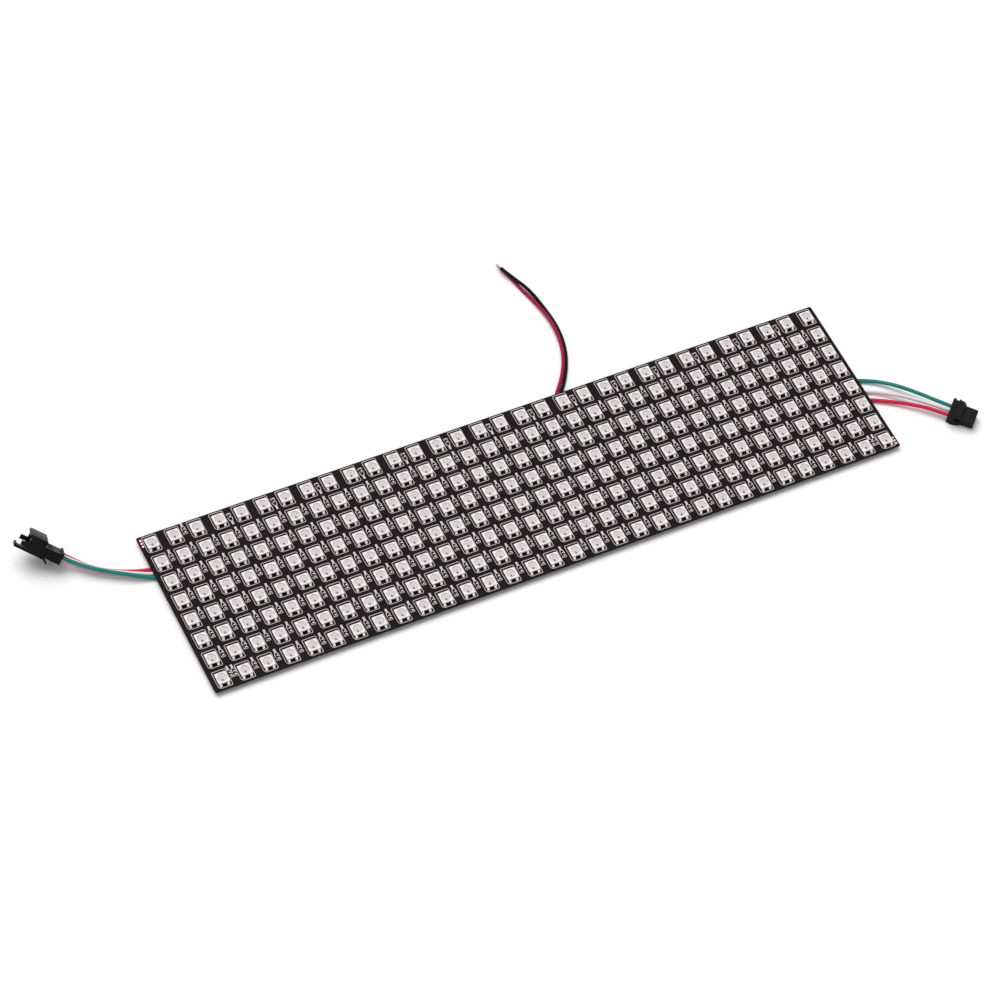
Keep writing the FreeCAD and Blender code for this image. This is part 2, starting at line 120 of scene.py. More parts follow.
def insulation(name, dark, light, shine=0.2):
    """Extruded PVC: even colour that drifts over 6 mm, and the soft shine of a skin with 1.5 mm waves."""
    material, tree, shader = new_material(name, Roughness=0.45, Specular_IOR_Level=shine)
    mottle(tree, shader, 6 * MM, dark, light)
    roughen(tree, shader, 1.5 * MM, 0.02 * MM)
    return material


DATA_WIRE_DIAMETER = 1.7 * MM
DATA_WIRE_PVC = {
    "red": insulation("red pvc insulation", "BA103A", "DA2456", 0.25),
    "white": insulation("white pvc insulation", "D8D2D2", "ECE7E7"),
    "green": insulation("green pvc insulation", "0A655F", "128880", 0.3),
}
WIRE_STEPS = 10
WIRE_ROUNDNESS = 5


def wire(name, route, material, diameter):
    """A round wire on one smooth line, its route in millimetres."""
    curve = bpy.data.curves.new(name, "CURVE")
    curve.dimensions = "3D"
    spline = curve.splines.new("NURBS")
    spline.points.add(len(route) - 1)
    for point, place in zip(spline.points, route):
        point.co = (*(MM * value for value in place), 1.0)
    spline.order_u = 3
    spline.use_endpoint_u = True
    curve.resolution_u = WIRE_STEPS
    curve.bevel_depth = diameter / 2
    curve.bevel_resolution = WIRE_ROUNDNESS
    curve.use_fill_caps = True
    curve.materials.append(material)
    piece = bpy.data.objects.new(name, curve)
    scene.collection.objects.link(piece)
    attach(piece, "root")
    return piece


CONTACT_PITCH = 2.5
BORE_LEAD_IN = 3.5
BORE_DEPTH = 1.8


def plug_entry(middle, turn, offset):
    """The last two points of a wire: behind its bore and on the floor of the bore, in millimetres."""
    turned = Euler([math.radians(angle) for angle in turn], "XYZ").to_matrix()
    steps = [Vector((along, offset, 0)) for along in (-BORE_LEAD_IN, BORE_DEPTH)]
    return [tuple(Vector(middle) + turned @ step) for step in steps]


def pigtail(name, routes, plug_middle, plug_turn):
    """Three wires along their routes and into their plug: each wire with the place where it starts."""
    wires = {}
    for way, (colour, route) in enumerate(routes.items()):
        route = route + plug_entry(plug_middle, plug_turn, (way - 1) * CONTACT_PITCH)
        piece = wire(name + "_lead_" + colour, route, DATA_WIRE_PVC[colour], DATA_WIRE_DIAMETER)
        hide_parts(name + "_wire_" + colour)
        wires[colour] = (piece, [MM * value for value in route[0]])
    return wires


PIN_PLUG_MIDDLE = (-191.6, 42.2, 4.83)
PIN_PLUG_TURN = (-136.1, -22.1, 141.5)
data_in_wires = pigtail("data_in", {
    "green": [(-150.0, 16.0, 1.0), (-157.5, 19.4, 1.0), (-160.6, 20.5, 1.0), (-164.4, 22.1, 2.0),
              (-168.9, 24.1, 3.0), (-175.3, 27.7, 3.65), (-181.5, 31.7, 4.05), (-185.9, 35.2, 4.5)],
    "white": [(-150.0, 21.5, 1.0), (-157.5, 22.1, 1.0), (-160.6, 22.5, 1.0), (-164.2, 23.8, 1.4),
              (-168.5, 25.5, 1.9), (-174.7, 28.7, 2.25), (-180.9, 32.6, 2.6), (-185.3, 36.3, 3.05)],
    "red": [(-150.0, 27.0, 1.0), (-157.5, 24.9, 1.0), (-160.6, 24.6, 1.0), (-164.1, 25.6, 0.9),
            (-168.2, 27.0, 0.9), (-174.1, 29.6, 0.9), (-180.3, 33.4, 1.1), (-184.7, 37.4, 1.6)],
}, PIN_PLUG_MIDDLE, PIN_PLUG_TURN)


# Wires of the data-out pigtail
# The same three wires at the right end, soldered under the board and crimped into the sockets of a plug that
# lies flat on the table. They run side by side in a shallow arc.

SOCKET_PLUG_MIDDLE = (189.0, -32.2, 2.9)
SOCKET_PLUG_TURN = (0.0, 0.0, -47.0)
data_out_wires = pigtail("data_out", {
    "red": [(150.0, -11.5, 1.0), (158.0, -12.0, 1.0), (165.9, -16.2, 1.2), (173.0, -20.9, 1.9),
            (179.5, -26.2, 2.7)],
    "white": [(150.0, -6.0, 1.0), (158.0, -7.2, 1.0), (166.2, -11.4, 1.2), (173.7, -17.2, 2.3),
              (180.2, -23.4, 2.9)],
    "green": [(150.0, -0.5, 1.0), (158.0, -1.2, 1.0), (166.0, -4.8, 1.3), (173.4, -10.9, 2.6),
              (180.7, -19.0, 3.1)],
}, SOCKET_PLUG_MIDDLE, SOCKET_PLUG_TURN)


# Power leads
# A thinner red and black wire from under the middle of the far edge. The red one rides on the side of the
# black one until the black one crosses over it. Their ends are stripped, twisted and tinned.

POWER_WIRE_DIAMETER = 1.5 * MM
POWER_WIRE_PVC = {
    "red": insulation("crimson pvc insulation", "8C1034", "A81A46", 0.1),
    "black": insulation("black pvc insulation", "060405", "0C090A", 0.08),
}
POWER_ROUTES = {
    "red": [
        (30.5, 32.0, 1.0), (34.5, 40.0, 1.0), (37.0, 42.9, 1.05), (40.7, 47.1, 1.5), (44.3, 52.4, 1.7),
        (47.1, 58.1, 1.7), (49.1, 64.5, 1.7), (50.1, 71.5, 1.7), (50.1, 78.5, 1.7), (49.1, 85.2, 1.5),
        (47.9, 91.0, 0.9), (46.5, 96.3, 0.8), (45.4, 101.6, 0.8), (44.2, 106.5, 0.8), (43.2, 110.0, 0.8)],
    "black": [
        (34.5, 32.0, 1.0), (36.6, 40.0, 1.0), (38.8, 42.3, 1.0), (42.5, 46.9, 0.8), (46.1, 52.7, 0.8),
        (48.8, 58.4, 0.8), (50.7, 64.8, 0.8), (51.7, 71.5, 0.8), (51.7, 78.3, 0.8), (50.9, 85.2, 0.9),
        (49.8, 91.9, 1.3), (47.7, 97.2, 2.2), (45.7, 101.3, 2.4), (43.9, 105.7, 2.4), (42.6, 109.2, 2.4)],
}
power_wires = {}
for colour, route in POWER_ROUTES.items():
    piece = wire("power_lead_" + colour, route, POWER_WIRE_PVC[colour], POWER_WIRE_DIAMETER)
    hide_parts("power_wire_" + colour)
    power_wires[colour] = (piece, [MM * value for value in route[0]])


def metal(name, dark, light, rough, grain):
    """Soft bright metal: a little uneven in shade, its reflections broken up by dents half a grain wide."""
    material, tree, shader = new_material(name, Metallic=1.0, Roughness=rough)
    mottle(tree, shader, grain, dark, light)
    roughen(tree, shader, grain / 2, 0.02 * MM)
    return material


# Dip-tinned copper: dull, and the copper tints the tin.
TINNED_COPPER = metal("tinned copper strands", "907880", "C0A8AE", 0.45, 0.6 * MM)
STRANDS = 7
STRAND_DIAMETER = 0.32 * MM
STRAND_ROUNDNESS = 2
TWIST_RADIUS = 0.88 * STRAND_DIAMETER
TIP_LENGTH = 3.0 * MM
TIP_OVERLAP = 0.05
TIP_TAPER = 0.25
TIP_TURNS = 0.8
TIP_STEPS = 14


def twisted_strands(curve, end, along):
    """One strand in the middle and the others wound round it, closing in on it towards the tip."""
    side = along.orthogonal().normalized()
    for strand in range(STRANDS):
        spline = curve.splines.new("POLY")
        spline.points.add(TIP_STEPS)
        for step, point in enumerate(spline.points):
            share = step / TIP_STEPS
            out = Vector()
            if strand:
                angle = math.tau * (strand / (STRANDS - 1) + TIP_TURNS * share)
                out = Matrix.Rotation(angle, 3, along) @ side * (TWIST_RADIUS * (1 - TIP_TAPER * share))
            reach = TIP_LENGTH * (share if step else -TIP_OVERLAP)
            point.co = (*(end + along * reach + out), 1.0)


for colour, route in POWER_ROUTES.items():
    before, end = (Vector(place) for place in route[-2:])
    curve = bpy.data.curves.new("power_strands_" + colour, "CURVE")
    curve.dimensions = "3D"
    curve.bevel_depth = STRAND_DIAMETER / 2
    curve.bevel_resolution = STRAND_ROUNDNESS
    curve.use_fill_caps = True
    twisted_strands(curve, end * MM, (end - before).normalized())
    curve.materials.append(TINNED_COPPER)
    piece = bpy.data.objects.new("power_strands_" + colour, curve)
    scene.collection.objects.link(piece)
    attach(piece, "root")
    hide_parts("power_tip_" + colour)


# Plug housings
# Two injection-moulded black nylon housings: the pin housing with its shroud, guide arms and latch lever, and
# the socket housing with its nose and catch. Every edge has the small round that a mould leaves.

def moulded_nylon():
    """Matt black nylon with a spark-eroded grain that greys where light grazes it. The real grain is about
    0.1 mm and is drawn at 0.25 mm so that it shows."""
    material, tree, shader = new_material("moulded nylon", Roughness=0.45, Specular_IOR_Level=0.1)
    mottle(tree, shader, 3 * MM, "0B0A0B", "121012")
    roughen(tree, shader, 0.25 * MM, 0.012 * MM)
    return material


NYLON = moulded_nylon()
MOULD_ROUND = 0.12 * MM
ROUND_STEPS = 2
SAME_PLACE = 0.002 * MM
FLAT_ANGLE = math.radians(2)
SHARP_ANGLE = math.radians(35)


def softened(name, node):
    """A copy of a housing's CAD node with its sharp edges rounded."""
    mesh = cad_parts[node].data.copy()
    shape = bmesh.new()
    shape.from_mesh(mesh)
    bmesh.ops.remove_doubles(shape, verts=shape.verts, dist=SAME_PLACE)
    bmesh.ops.dissolve_limit(shape, angle_limit=FLAT_ANGLE, verts=shape.verts, edges=shape.edges)
    shape.to_mesh(mesh)
    shape.free()
    piece = bpy.data.objects.new(name, mesh)
    scene.collection.objects.link(piece)
    bevel = piece.modifiers.new("round", "BEVEL")
    bevel.width = MOULD_ROUND
    bevel.segments = ROUND_STEPS
    bevel.limit_method = "ANGLE"
    bevel.angle_limit = SHARP_ANGLE
    piece.data = bpy.data.meshes.new_from_object(piece.evaluated_get(bpy.context.evaluated_depsgraph_get()))
    piece.modifiers.clear()
    piece.data.materials.clear()
    piece.data.materials.append(NYLON)
    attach(piece, "root")
    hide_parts(node)
    return piece


pin_plug = softened("pin_plug", "data_in_housing")
socket_plug = softened("socket_plug", "data_out_housing")


# Contacts in the plugs
# Square pins in the one plug and folded box sockets in the other, stamped from brass strip and tin-plated,
# pushed into the housings until they snap in. They stay the CAD solids and only get their finish here.

def refinish(node, material):
    """A new finish on a CAD piece that keeps its shape."""
    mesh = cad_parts[node].data
    mesh.materials.clear()
    mesh.materials.append(material)


# Tin plate on rolled brass: bright and nearly smooth, with a warm cast.
TINNED_BRASS = metal("tin-plated brass", "B8B2A4", "E6E1D4", 0.28, 0.8 * MM)
refinish("data_in_pins", TINNED_BRASS)
refinish("data_out_contacts", TINNED_BRASS)


# Wire lengths
# Every wire is short and stiff and starts in its soldered joint. The data wires end in their plugs with the
# contacts inside, and the power leads end in their bare tinned strands. Below, each wire's piece and start
# are only looked up beside its length in metres.

for colour, length in (("green", 0.0514), ("white", 0.0499), ("red", 0.0497)):
    piece, start = data_in_wires[colour]
for colour, length in (("green", 0.0544), ("white", 0.0500), ("red", 0.0465)):
    piece, start = data_out_wires[colour]
for colour, length in (("red", 0.0841), ("black", 0.0832)):
    piece, start = power_wires[colour]


# Board
# A thin flexible printed circuit under black solder mask, with wide supply tracks that show as faint raised
# bands along each row. It stays the CAD solid and only gets its finish here.

board_low, board_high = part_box("flexible_circuit")
ROWS = 8
COLUMNS = 32
PITCH = (board_high[1] - board_low[1]) / ROWS
BOARD_TOP = board_high[2]
TRACK_EDGE = (0.3, 0.45)
LACQUER_GRAIN = 0.4 * MM
TRACK_HEIGHT = 0.02 * MM
GRAIN_SHARE = 0.3


def solder_mask():
    """Black solder mask: brown-black satin lacquer, with the tracks under it as soft steps. The grain of the
    lacquer is about 0.1 mm and is drawn at 0.4 mm so that it shows."""
    material, tree, shader = new_material("black solder mask", Roughness=0.5, Specular_IOR_Level=0.06)
    mottle(tree, shader, 9 * MM, "10080C", "1A1015")
    place = add(tree, "ShaderNodeTexCoord").outputs["Object"]
    across = add(tree, "ShaderNodeSeparateXYZ", {0: place}).outputs["Y"]
    wave = add(tree, "ShaderNodeMath", {0: across, 1: math.tau / PITCH}, operation="MULTIPLY")
    track = add(tree, "ShaderNodeMath", {0: wave.outputs[0]}, operation="COSINE")
    step = add(tree, "ShaderNodeMapRange", {
        "Value": track.outputs[0], "From Min": TRACK_EDGE[0], "From Max": TRACK_EDGE[1]})
    grain = add(tree, "ShaderNodeTexNoise", {"Vector": place, "Scale": 1 / LACQUER_GRAIN, "Detail": 2.0})
    height = add(tree, "ShaderNodeMath", {
        0: grain.outputs["Fac"], 1: GRAIN_SHARE, 2: step.outputs["Result"]}, operation="MULTIPLY_ADD")
    bump = add(tree, "ShaderNodeBump", {
        "Height": height.outputs[0], "Distance": TRACK_HEIGHT, "Strength": 1.0})
    tree.links.new(bump.outputs["Normal"], shader.inputs["Normal"])
    return material


refinish("flexible_circuit", solder_mask())


# Light packages
# Square white mouldings, soldered on every pitch of the board, each with one cut corner and a round cup.
# Their lower half is set back where the leads come out. Placing leaves each one up to a degree askew.

ROUND_POINTS = 20


def circle(radius, stretch=0.0):
    """Points round a circle, drawn out along Y by a length if asked."""
    angles = [math.tau * (index + 0.5) / ROUND_POINTS for index in range(ROUND_POINTS)]
    return [(radius * math.cos(a), radius * math.sin(a) + math.copysign(stretch / 2, math.sin(a)))
            for a in angles]


def rectangle(x, y, width, length):
    """A rectangle round its middle."""
    return [(x + a * width / 2, y + b * length / 2) for a, b in ((-1, -1), (1, -1), (1, 1), (-1, 1))]


def lifted(outline, height):
    """A flat outline as a ring at one height."""
    return [(x, y, height) for x, y in outline]


def skin(shape, rings, first=False, last=False):
    """Faces from each ring to the next, in millimetres, closed at the first or last ring if asked."""
    rows = [[shape.verts.new(Vector(point) * MM) for point in ring] for ring in rings]
    for low, high in zip(rows, rows[1:]):
        for index in range(len(low)):
            after = (index + 1) % len(low)
            shape.faces.new((low[index], low[after], high[after], high[index]))
    if first:
        shape.faces.new(reversed(rows[0]))
    if last:
        shape.faces.new(rows[-1])


def slab(shape, outline, low, high):
    """A flat outline with a thickness."""
    skin(shape, [lifted(outline, low), lifted(outline, high)], True, True)


def holed(shape, outer, inner, height):
    """A flat face with a hole, both in millimetres, where the hole has other corners."""
    edges = []
    for outline in (outer, inner):
        corners = [shape.verts.new(Vector(point) * MM) for point in lifted(outline, height)]
        edges += [shape.edges.new(pair) for pair in zip(corners, corners[1:] + corners[:1])]
    bmesh.ops.triangle_fill(shape, use_beauty=True, edges=edges)


TURN_SEED = 5


def copies_tree():
    """Geometry nodes that put a copy on each point, turned a little, as one mesh with one material."""
    tree = bpy.data.node_groups.new("place copies", "GeometryNodeTree")
    for name, kind in (("Points", "NodeSocketGeometry"), ("Copy", "NodeSocketObject"),
                       ("Most Turn", "NodeSocketFloat"), ("Finish", "NodeSocketMaterial")):
        tree.interface.new_socket(name, in_out="INPUT", socket_type=kind)
    tree.interface.new_socket("Mesh", in_out="OUTPUT", socket_type="NodeSocketGeometry")
    given = add(tree, "NodeGroupInput").outputs
    copy = add(tree, "GeometryNodeObjectInfo", {"Object": given["Copy"]})
    least = add(tree, "ShaderNodeMath", {0: given["Most Turn"], 1: -1.0}, operation="MULTIPLY")
    # Sockets 2 and 3 and output 1 are the node's own for a single number.
    turn = add(tree, "FunctionNodeRandomValue", {
        2: least.outputs[0], 3: given["Most Turn"], "Seed": TURN_SEED}, data_type="FLOAT")
    angles = add(tree, "ShaderNodeCombineXYZ", {"Z": turn.outputs[1]})
    placed = add(tree, "GeometryNodeInstanceOnPoints", {
        "Points": given["Points"], "Instance": copy.outputs["Geometry"], "Rotation": angles.outputs[0]})
    real = add(tree, "GeometryNodeRealizeInstances", {"Geometry": placed.outputs[0]})
    finished = add(tree, "GeometryNodeSetMaterial", {
        "Geometry": real.outputs[0], "Material": given["Finish"]})
    add(tree, "NodeGroupOutput", {"Mesh": finished.outputs[0]})
    return tree


COPIES = copies_tree()
COPIES_INPUT = {item.name: item.identifier for item in COPIES.interface.items_tree
                if item.in_out == "INPUT"}
WELD = 0.001 * MM


def copies(name, build, places, material, most_turn=0.0, smooth=False):
    """A piece made of one copy of a small shape at each place on the board."""
    shape = bmesh.new()
    build(shape)
    bmesh.ops.remove_doubles(shape, verts=shape.verts, dist=WELD)
    bmesh.ops.recalc_face_normals(shape, faces=shape.faces)
    for face in shape.faces:
        face.smooth = smooth
    template = bpy.data.objects.new("template", bpy.data.meshes.new("template"))
    shape.to_mesh(template.data)
    shape.free()
    scene.collection.objects.link(template)
    points = bpy.data.meshes.new(name)
    points.from_pydata(places, [], [])
    piece = bpy.data.objects.new(name, points)
    scene.collection.objects.link(piece)
    nodes = piece.modifiers.new("copies", "NODES")
    nodes.node_group = COPIES
    nodes[COPIES_INPUT["Copy"]] = template
    nodes[COPIES_INPUT["Most Turn"]] = most_turn
    nodes[COPIES_INPUT["Finish"]] = material
    piece.data = bpy.data.meshes.new_from_object(piece.evaluated_get(bpy.context.evaluated_depsgraph_get()))
    piece.modifiers.clear()
    bpy.data.objects.remove(template)
    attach(piece, "root")
    return piece


def cell(column, row, right=0.0, back=0.0):
    """The point on the board at a light, moved right and back by millimetres."""
    return (board_low[0] + PITCH * (column + 0.5) + right * MM,
            board_low[1] + PITCH * (row + 0.5) + back * MM,
            BOARD_TOP)


LED_HALF = 2.5
LED_FOOT = 1.9
LED_LEDGE = 0.95
LED_TOP = (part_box("led_row_1")[1][2] - BOARD_TOP) / MM
LED_CUT = 0.4
LED_EDGE = 0.08
CUP_RADIUS = 2.0
CUP_TAPER = 0.15
CUP_FLOOR = LED_TOP - 0.3
PLACING_TURN = math.radians(1.0)
light_places = [cell(column, row) for row in range(ROWS) for column in range(COLUMNS)]


def package_outline(half):
    """A square with its right back corner cut off."""
    return [(-half, -half), (half, -half), (half, half - LED_CUT), (half - LED_CUT, half), (-half, half)]


def led_body(shape):
    """The foot, the ledge over the leads, the outer wall with its eased edge, the rim and the cup."""
    foot = rectangle(0.0, 0.0, 2 * LED_FOOT, 2 * LED_FOOT)
    wall, top = package_outline(LED_HALF), package_outline(LED_HALF - LED_EDGE)
    rim, floor_edge = circle(CUP_RADIUS), circle(CUP_RADIUS - CUP_TAPER)
    skin(shape, [lifted(foot, 0.0), lifted(foot, LED_LEDGE)], first=True)
    holed(shape, wall, foot, LED_LEDGE)
    skin(shape, [lifted(wall, LED_LEDGE), lifted(wall, LED_TOP - LED_EDGE), lifted(top, LED_TOP)])
    holed(shape, top, rim, LED_TOP)
    skin(shape, [lifted(floor_edge, CUP_FLOOR), lifted(rim, LED_TOP)], first=True)


def white_moulding():
    """Reflective white moulding compound: warm white and matt, with faint flow marks 2 mm long. The skin's
    texture is about 0.05 mm and is drawn at 0.3 mm so that it shows."""
    material, tree, shader = new_material("white reflective moulding", Roughness=0.5, Specular_IOR_Level=0.4)
    mottle(tree, shader, 2 * MM, "E5DEDE", "F2EBEB")
    roughen(tree, shader, 0.3 * MM, 0.008 * MM)
    return material


bodies = copies("light_bodies", led_body, light_places, white_moulding(), PLACING_TURN)
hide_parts(*("led_row_%d" % (row + 1) for row in range(ROWS)))


# Light windows and dies
# The cup is filled with clear resin that was poured in and cured. Through it show the dark driver die in
# front of the middle and the three small dies of the colours, all glued to the floor of the cup.

RESIN_GAP = 0.02
RESIN_LIFT = 0.01
RESIN_RIM_SINK = 0.03
RESIN_MIDDLE_SINK = 0.06
RESIN_MIDDLE_SHARE = 0.5
DRIVER_DIE = rectangle(-0.2, -1.0, 0.6, 0.85)
DRIVER_DIE_HEIGHT = 0.15
COLOUR_DIES = [rectangle(x, y, 0.24, 0.24) for x, y in ((-0.6, 0.35), (0.0, 0.55), (0.6, 0.35))]
COLOUR_DIE_HEIGHT = 0.1


def led_window(shape):
    """The resin in the cup, its top sunk a little in the middle where it shrank."""
    skin(shape, [lifted(circle(CUP_RADIUS - CUP_TAPER - RESIN_GAP), CUP_FLOOR + RESIN_LIFT),
                 lifted(circle(CUP_RADIUS - RESIN_GAP), LED_TOP - RESIN_RIM_SINK),
                 lifted(circle(CUP_RADIUS * RESIN_MIDDLE_SHARE), LED_TOP - RESIN_MIDDLE_SINK)], True, True)


def driver_die(shape):
    """The chip that drives the three colours."""
    slab(shape, DRIVER_DIE, CUP_FLOOR, CUP_FLOOR + DRIVER_DIE_HEIGHT)


def colour_dies(shape):
    """One small die for each colour."""
    for outline in COLOUR_DIES:
        slab(shape, outline, CUP_FLOOR, CUP_FLOOR + COLOUR_DIE_HEIGHT)


def clear_resin():
    """Clear resin, poured and cured: a thin pinkish film over the cup, with drifts of 1.5 mm, that mirrors
    the room."""
    material, tree, shader = new_material("clear resin", Roughness=0.25, Alpha=0.12, Specular_IOR_Level=0.4)
    mottle(tree, shader, 1.5 * MM, "A39998", "B9AFAE")
    return material


def polished_die(name, dark, light):
    """A sawn and polished die: small, flat and shiny, with its circuit as 0.3 mm patches of shade."""
    material, tree, shader = new_material(name, Roughness=0.25, Specular_IOR_Level=0.6)
    mottle(tree, shader, 0.3 * MM, dark, light)
    return material


copies("light_windows", led_window, light_places, clear_resin(), PLACING_TURN, smooth=True)
copies("driver_dies", driver_die, light_places, polished_die("driver silicon", "0C0808", "1C1616"),
       PLACING_TURN)
copies("colour_dies", colour_dies, light_places, polished_die("light crystal", "B9AFA4", "D3CABF"),
       PLACING_TURN)


# Leads of the light packages
# Two tinned leads on the front and two on the back of each package, soldered to pads that stick out from
# under it, so each pad carries a fillet that climbs the lead.

LEAD_PLACE = 1.65
LEAD_HALF = 0.52
# The side of a lead and its fillet, as distance from the middle of the package and height.
LEAD_PROFILE = [(LED_FOOT, 0.0), (LED_FOOT, 0.92), (2.4, 0.92), (2.6, 0.82), (2.85, 0.5), (3.1, 0.22),
                (3.25, 0.1), (3.35, 0.0)]


def lead_fillets(shape):
    """Four leads that come out under the ledge and bend down into the solder of their pads."""
    for side in (-1, 1):
        for x in (-LEAD_PLACE, LEAD_PLACE):
            ends = [[(x + half, side * y, z) for y, z in LEAD_PROFILE] for half in (-LEAD_HALF, LEAD_HALF)]
            skin(shape, ends, True, True)


# Reflowed tin solder: pale, between satin and bright.
SOLDER = metal("tin solder", "CFC8C6", "F4EFED", 0.42, 0.7 * MM)
copies("lead_fillets", lead_fillets, light_places, SOLDER, PLACING_TURN)


# Printed outlines round the lights
# White ink, screen-printed on the mask: a thin frame round each package and its pads, with the left front
# corner rounded more to show which way round the package goes.

PRINT_HEIGHT = 0.02
PRINT_LINE = 0.26
FRAME_LEFT, FRAME_RIGHT = -3.0, 3.35
FRAME_FRONT, FRAME_BACK = -3.95, 4.4
FRAME_CORNER = 0.55
FRAME_MARKED_CORNER = 1.5


def corner(x, y, radius, start, steps=2):
    """Points of a quarter circle round a corner's centre."""
    angles = [start + math.pi / 2 * step / steps for step in range(steps + 1)]
    return [(x + radius * math.cos(a), y + radius * math.sin(a)) for a in angles]


def frame_outline(inset):
    """The frame's edge, moved in by a distance."""
    left, right = FRAME_LEFT + inset, FRAME_RIGHT - inset
    front, back = FRAME_FRONT + inset, FRAME_BACK - inset
    small, large = FRAME_CORNER - inset, FRAME_MARKED_CORNER - inset
    return (corner(right - small, back - small, small, 0)
            + corner(left + small, back - small, small, math.pi / 2)
            + corner(left + large, front + large, large, math.pi, steps=4)
            + corner(right - small, front + small, small, 1.5 * math.pi))


def printed_frame(shape):
    """A closed printed line between the frame's outer and inner edge."""
    outer, inner = frame_outline(0.0), frame_outline(PRINT_LINE)
    skin(shape, [lifted(outer, 0.0), lifted(outer, PRINT_HEIGHT), lifted(inner, PRINT_HEIGHT),
                 lifted(inner, 0.0), lifted(outer, 0.0)])


def printed_ink():
    """White screen ink: matt, and thin enough for the black mask to dull it in spots of 0.5 mm. The marks of
    the screen are about 0.1 mm and are drawn at 0.2 mm so that they show."""
    material, tree, shader = new_material("white screen ink", Roughness=0.7, Specular_IOR_Level=0.3)
    mottle(tree, shader, 0.5 * MM, "B4ABAD", "E0D8DA")
    roughen(tree, shader, 0.2 * MM, 0.01 * MM)
    return material


INK = printed_ink()
copies("printed_frames", printed_frame, light_places, INK)


# Chip capacitors
# A small fired ceramic chip between each pair of lights smooths its supply. Its tinned ends are soldered to
# two pads. The far row has one in every second gap, the near row a pair at each end.

CHIP_BACK = 0.65
CHIP_PAIR = 1.0
CHIP_WIDTH = 0.85
CHIP_LENGTH = 1.6
CHIP_HEIGHT = (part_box("capacitor_row_1")[1][2] - BOARD_TOP) / MM
CHIP_EDGE = 0.09
END_LENGTH = 0.22
END_LAP = 0.02
END_PLATE = 0.02
END_PLATE_TOP = 0.03
FILLET_HALF = 0.4
# The slope of the solder at a chip's end, as distance from the end and height.
FILLET_PROFILE = [(0.0, 0.0), (0.0, 0.3), (0.05, 0.1), (0.12, 0.0)]


def chip_places(row, flipped):
    """Places of the chips of one row: of those whose printed mark is turned round, or of the others."""
    places = []
    for column in range(COLUMNS - 1):
        far_row = row == ROWS - 1
        mark_turned = far_row and column != 1
        if (far_row and column % 2 == 0) or flipped != mark_turned:
            continue
        spread = (-CHIP_PAIR, CHIP_PAIR) if row == 0 and column in (0, COLUMNS - 2) else (0.0,)
        places += [cell(column + 0.5, row, right, CHIP_BACK) for right in spread]
    return places


def chip_block(shape, y, length, width, height):
    """A block with its upper edges rounded off, lying along Y."""
    half = width / 2
    profile = [(-half, 0.0), (half, 0.0), (half, height - CHIP_EDGE), (half - CHIP_EDGE, height),
               (CHIP_EDGE - half, height), (-half, height - CHIP_EDGE)]
    skin(shape, [[(x, y + side * length / 2, z) for x, z in profile] for side in (1, -1)], True, True)


def chip_body(shape):
    """The ceramic, a little thinner than its plated ends and reaching a little into them."""
    chip_block(shape, 0.0, CHIP_LENGTH - 2 * END_LENGTH + 2 * END_LAP, CHIP_WIDTH - 2 * END_PLATE,
               CHIP_HEIGHT - END_PLATE_TOP)


def chip_ends(shape):
    """Both tinned ends, each with a solder fillet that slopes to the board."""
    for side in (-1, 1):
        chip_block(shape, side * (CHIP_LENGTH - END_LENGTH) / 2, END_LENGTH, CHIP_WIDTH, CHIP_HEIGHT)
        end = side * CHIP_LENGTH / 2
        slope = [(end + side * y, z) for y, z in FILLET_PROFILE]
        skin(shape, [[(x, y, z) for y, z in slope] for x in (-FILLET_HALF, FILLET_HALF)], True, True)


def ceramic():
    """Fired ceramic, slightly waxy: dark brown deepened by painted shade, a fine grain drawn at 0.5 mm to
    show.
    """
    material, tree, shader = new_material("capacitor ceramic with painted shade", Roughness=0.45, Specular_IOR_Level=0.2)
    # Both shades are brown darkened towards black: painted shade standing in for the shade between the tinned
    # ends.
    mottle(tree, shader, 0.5 * MM, "1C1614", "2C2421")
    return material


# Matt electroplated tin: pale grey and satin.
TIN_PLATING = metal("matt tin plating", "BCB7BA", "F0EBEF", 0.5, 0.4 * MM)
upright = [place for row in range(ROWS) for place in chip_places(row, False)]
turned = [place for row in range(ROWS) for place in chip_places(row, True)]
chips = copies("capacitor_bodies", chip_body, upright + turned, ceramic(), PLACING_TURN)
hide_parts(*("capacitor_row_%d" % (row + 1) for row in range(ROWS)))
copies("capacitor_ends", chip_ends, upright + turned, TIN_PLATING, PLACING_TURN)


# Printed marks round the capacitors
# The same white ink. Each chip lies in an outline shaped like a small bottle, open at both sides beside the
# chip's middle, with a filled neck that points to the next row.

BOTTLE_HALF = 0.95
BOTTLE_FOOT = -1.35
BOTTLE_SHOULDER = 1.8
BOTTLE_TOP = 2.6
BOTTLE_NECK_HALF = 0.5
BOTTLE_NECK = rectangle(0.0, 3.45, 0.95, 1.8)
BOTTLE_GAP_HALF = 0.28
SHOULDER_INSET_SHARE = 0.4


def bottle_edges(inset):
    """Open edges of the bottle's foot and of its shoulders, moved in by a distance."""
    half, foot, neck = BOTTLE_HALF - inset, BOTTLE_FOOT + inset, BOTTLE_NECK_HALF - inset
    shoulder, top = BOTTLE_SHOULDER - inset * SHOULDER_INSET_SHARE, BOTTLE_TOP - inset
    return ([(-half, -BOTTLE_GAP_HALF), (-half, foot), (half, foot), (half, -BOTTLE_GAP_HALF)],
            [(half, BOTTLE_GAP_HALF), (half, shoulder), (neck, top), (-neck, top), (-half, shoulder),
             (-half, BOTTLE_GAP_HALF)])


def bottle(shape):
    """The mark with its neck towards the back."""
    for outer, inner in zip(bottle_edges(0.0), bottle_edges(PRINT_LINE)):
        slab(shape, outer + inner[::-1], 0.0, PRINT_HEIGHT)
    slab(shape, BOTTLE_NECK, 0.0, PRINT_HEIGHT)


